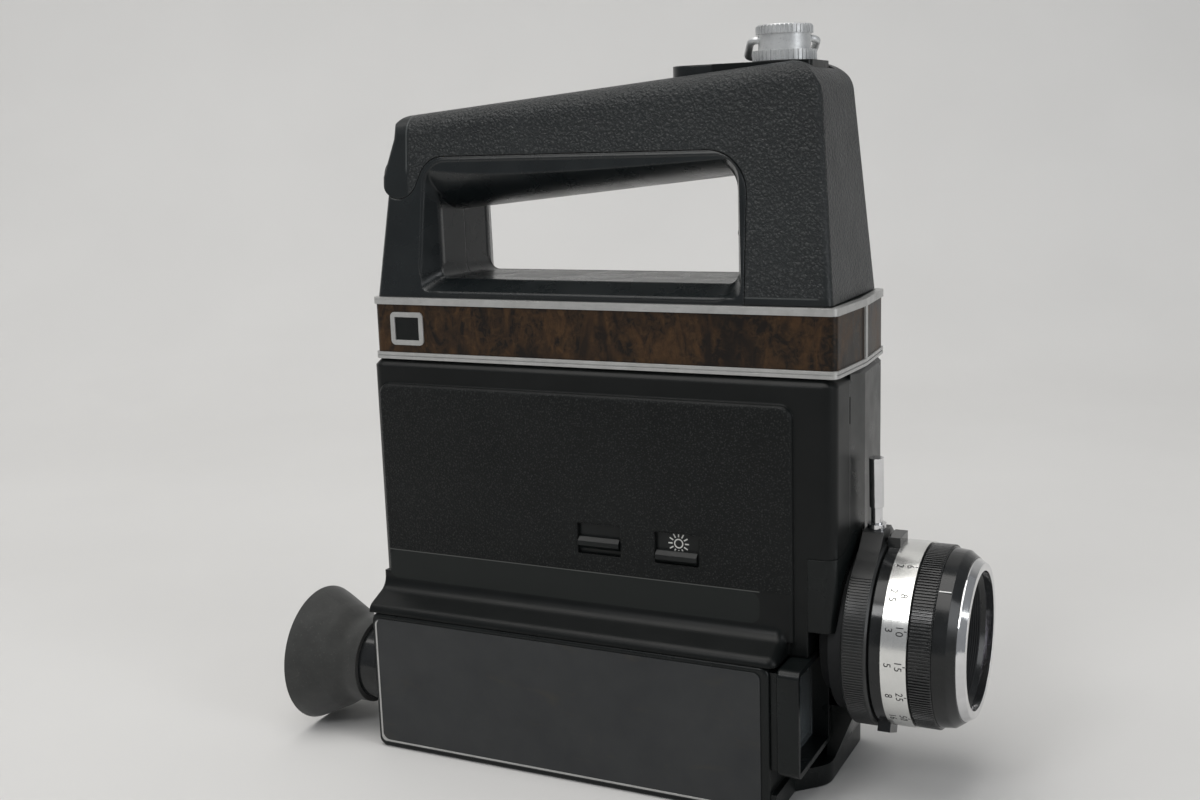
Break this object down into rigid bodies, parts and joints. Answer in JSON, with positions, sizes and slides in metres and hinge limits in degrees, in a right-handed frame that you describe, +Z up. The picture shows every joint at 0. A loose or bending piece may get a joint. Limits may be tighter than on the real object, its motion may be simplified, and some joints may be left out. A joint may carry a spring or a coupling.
{
  "type": "movie camera",
  "caption": "Loop-handled cartridge film camera with sound, zoom lens, side finder with eyecup, swinging film door and strap adapter, standing on its finder side.",
  "frame": {"origin": "bottom centre of the camera's box, on the surface it stands on", "axes": "+X out of the lens, +Z up through the handle, the side with the two small switches faces -Y"},
  "size_m": [0.2218, 0.0746, 0.228],
  "materials": {
    "black_plastic": "moulded black plastic with a low sheen",
    "grained_plastic": "black plastic with a leather-like grain",
    "wood": "dark burl wood grain",
    "silver_trim": "satin silver",
    "chrome": "polished",
    "lens_black": "glossy black enamel",
    "name_plate": "satin black",
    "post_black": "black painted die casting",
    "glass": "coated optical glass",
    "dark_glass": "flat window",
    "rubber": "soft black rubber",
    "adapter_metal": "dull plated metal",
    "steel": "brushed",
    "brass": "bare brass",
    "board": "green laminate",
    "cell_can": "plain metal can",
    "inner_black": "matt black anodised"
  },
  "bodies": {
    "camera_body": {"left_shell": "grained_plastic", "main_shell": "black_plastic", "front_plate": "black_plastic", "finder_housing": "black_plastic", "finder_plate": "name_plate", "plate_outline": "silver_trim", "finder_hood": "black_plastic", "finder_window": "dark_glass", "finder_lens_carrier": "black_plastic", "finder_lens": "glass", "lens_barrel": "inner_black", "lens_collar": "lens_black", "scale_ring": "silver_trim", "middle_frame": "black_plastic", "wood_band": "wood", "badge_frame": "silver_trim", "badge_insert": "name_plate", "front_divider": "silver_trim", "upper_trim": "silver_trim", "lower_trim": "silver_trim", "handle_frame_left": "black_plastic", "handle_frame_right": "black_plastic", "grip_hinge_pin": "steel", "tripod_post": "post_black", "trigger_switch": "black_plastic", "battery_cells": "cell_can", "battery_contacts": "brass", "chassis_plate": "steel", "circuit_board": "board", "film_gate": "steel", "motor": "steel", "film_door_pin": "steel", "slide_keeper": "steel"},
    "film_door_body": {"film_door": "black_plastic"},
    "door_catch_body": {"film_door_catch": "black_plastic"},
    "cover_body": {"grip_cover": "grained_plastic"},
    "latch_body": {"cover_latch": "black_plastic"},
    "trigger_body": {"trigger": "black_plastic"},
    "adapter_body": {"strap_adapter": "adapter_metal"},
    "bail_body": {"strap_bail": "adapter_metal"},
    "eyepiece_body": {"eyepiece_tube": "lens_black", "eyepiece_lens": "glass", "eyecup": "rubber"},
    "zoom_ring_body": {"zoom_ring": "lens_black", "zoom_lever": "chrome"},
    "zoom_group_body": {"zoom_group_cell": "inner_black", "zoom_group_lens": "glass"},
    "focus_body": {"focus_ring": "lens_black", "lens_nose": "lens_black", "lens_rim": "chrome", "front_lens": "glass"},
    "battery_check_body": {"battery_check_slide": "black_plastic"},
    "filter_switch_body": {"filter_switch_slide": "black_plastic"},
    "shutter_body": {"shutter": "inner_black"},
    "pinion_body": {"motor_pinion": "steel"},
    "take_up_body": {"take_up_spindle": "black_plastic"},
    "capstan_body": {"sound_capstan": "steel"}
  },
  "joints": [
    {"name": "film_door_hinge", "type": "hinge", "parent": "camera_body", "child": "film_door_body", "pos_m": [-0.072, 0.03615, 0.0685], "axis": [0, 0, 1], "range_deg": [0, 105]},
    {"name": "door_catch_slide", "type": "slide", "parent": "film_door_body", "child": "door_catch_body", "axis": [-1, 0, 0], "range_m": [0, 0.0024], "stiffness_N_per_m": 150, "springref_m": -0.003},
    {"name": "grip_cover_hinge", "type": "hinge", "parent": "camera_body", "child": "cover_body", "pos_m": [-0.0705, 0.00825, 0.1872], "axis": [0, -1, 0], "range_deg": [0, 70]},
    {"name": "cover_latch_slide", "type": "slide", "parent": "cover_body", "child": "latch_body", "axis": [-1, 0, 0], "range_m": [0, 0.003], "stiffness_N_per_m": 200, "springref_m": -0.004},
    {"name": "trigger_slide", "type": "slide", "parent": "camera_body", "child": "trigger_body", "axis": [1, 0, 0], "range_m": [0, 0.003], "stiffness_N_per_m": 400, "springref_m": -0.003},
    {"name": "strap_adapter_turn", "type": "hinge", "parent": "camera_body", "child": "adapter_body", "pos_m": [0.0519, 0.00825, 0.2178], "axis": [0, 0, 1], "continuous": true},
    {"name": "strap_bail_swing", "type": "hinge", "parent": "adapter_body", "child": "bail_body", "pos_m": [0.0519, 0.00825, 0.2239], "axis": [0.9028, 0.43, 0], "range_deg": [0, 220]},
    {"name": "eyepiece_focus", "type": "hinge", "parent": "camera_body", "child": "eyepiece_body", "pos_m": [-0.0795, -0.01445, 0.0232], "axis": [1, 0, 0], "range_deg": [-60, 60]},
    {"name": "zoom_ring_turn", "type": "hinge", "parent": "camera_body", "child": "zoom_ring_body", "pos_m": [0.0764, 0.00825, 0.0487], "axis": [1, 0, 0], "range_deg": [-40, 35]},
    {"name": "zoom_group_slide", "type": "slide", "parent": "camera_body", "child": "zoom_group_body", "axis": [1, 0, 0], "range_m": [-0.005, 0.005]},
    {"name": "focus_ring_turn", "type": "hinge", "parent": "camera_body", "child": "focus_body", "pos_m": [0.0956, 0.00825, 0.0487], "axis": [1, 0, 0], "range_deg": [-60, 150]},
    {"name": "battery_check_press", "type": "slide", "parent": "camera_body", "child": "battery_check_body", "axis": [0, 0, 1], "range_m": [0, 0.0026], "stiffness_N_per_m": 150, "springref_m": -0.003},
    {"name": "filter_switch_slide_z", "type": "slide", "parent": "camera_body", "child": "filter_switch_body", "axis": [0, 0, 1], "range_m": [0, 0.0048]},
    {"name": "shutter_spin", "type": "hinge", "parent": "camera_body", "child": "shutter_body", "pos_m": [0.0337, 0.01025, 0.066], "axis": [1, 0, 0], "continuous": true},
    {"name": "motor_spin", "type": "hinge", "parent": "camera_body", "child": "pinion_body", "pos_m": [0.0337, -0.00645, 0.07372], "axis": [1, 0, 0], "continuous": true},
    {"name": "take_up_spin", "type": "hinge", "parent": "camera_body", "child": "take_up_body", "pos_m": [-0.0095, 0.00825, 0.06134], "axis": [0, 1, 0], "continuous": true},
    {"name": "capstan_spin", "type": "hinge", "parent": "camera_body", "child": "capstan_body", "pos_m": [0.0155, 0.00825, 0.101], "axis": [0, 1, 0], "continuous": true}
  ],
  "couplings": [
    {"joint": "zoom_group_slide", "follows": "zoom_ring_turn", "m_per_rad": 0.006},
    {"joint": "motor_spin", "follows": "shutter_spin", "ratio": -2.8333},
    {"joint": "take_up_spin", "follows": "shutter_spin", "ratio": 0.11806},
    {"joint": "capstan_spin", "follows": "shutter_spin", "ratio": 0.5}
  ]
}
